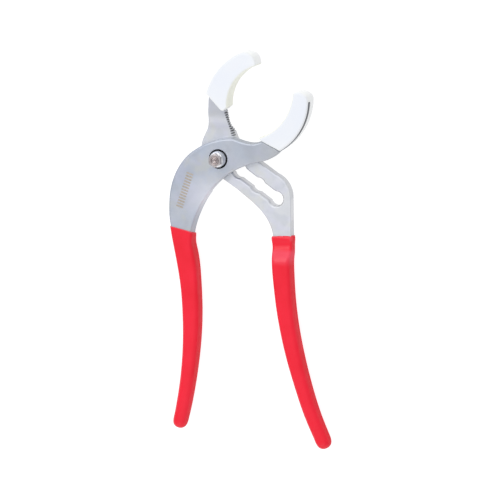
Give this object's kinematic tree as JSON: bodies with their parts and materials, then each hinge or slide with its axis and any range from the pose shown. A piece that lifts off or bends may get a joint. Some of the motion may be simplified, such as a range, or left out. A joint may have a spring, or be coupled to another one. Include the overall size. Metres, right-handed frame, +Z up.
{
  "type": "slip-joint connector pliers",
  "caption": "Slip-joint pliers with a lobed adjusting slot, curved jaws in soft white plastic caps and red dipped grips, for gripping round fittings.",
  "frame": {"origin": "on the pivot axis at the underside of the bolt head, with the joint in its first slot position", "axes": "+X across the tool towards the front lever's jaw, +Y from the handles to the jaws, +Z up out of the nut"},
  "size_m": [0.1058, 0.2498, 0.023],
  "materials": {
    "steel": "satin blasted",
    "jaw_plastic": "semi-gloss",
    "grip_plastic": "smooth dipped",
    "fastener_steel": "bright turned"
  },
  "bodies": {
    "rear_arm": {"rear_lever": "steel", "rear_grip": "grip_plastic", "rear_jaw_cap": "jaw_plastic"},
    "pivot": {"pivot_bolt": "fastener_steel", "pivot_nut": "fastener_steel"},
    "front_arm": {"front_lever": "steel", "front_grip": "grip_plastic", "front_jaw_cap": "jaw_plastic"}
  },
  "joints": [
    {"name": "slot_slide", "type": "slide", "parent": "rear_arm", "child": "pivot", "axis": [0.83, -0.5577, 0], "range_m": [0, 0.0434]},
    {"name": "pivot_hinge", "type": "hinge", "parent": "pivot", "child": "front_arm", "pos_m": [0, 0, 0.009], "axis": [0, 0, 1], "range_deg": [-24, 10]}
  ]
}
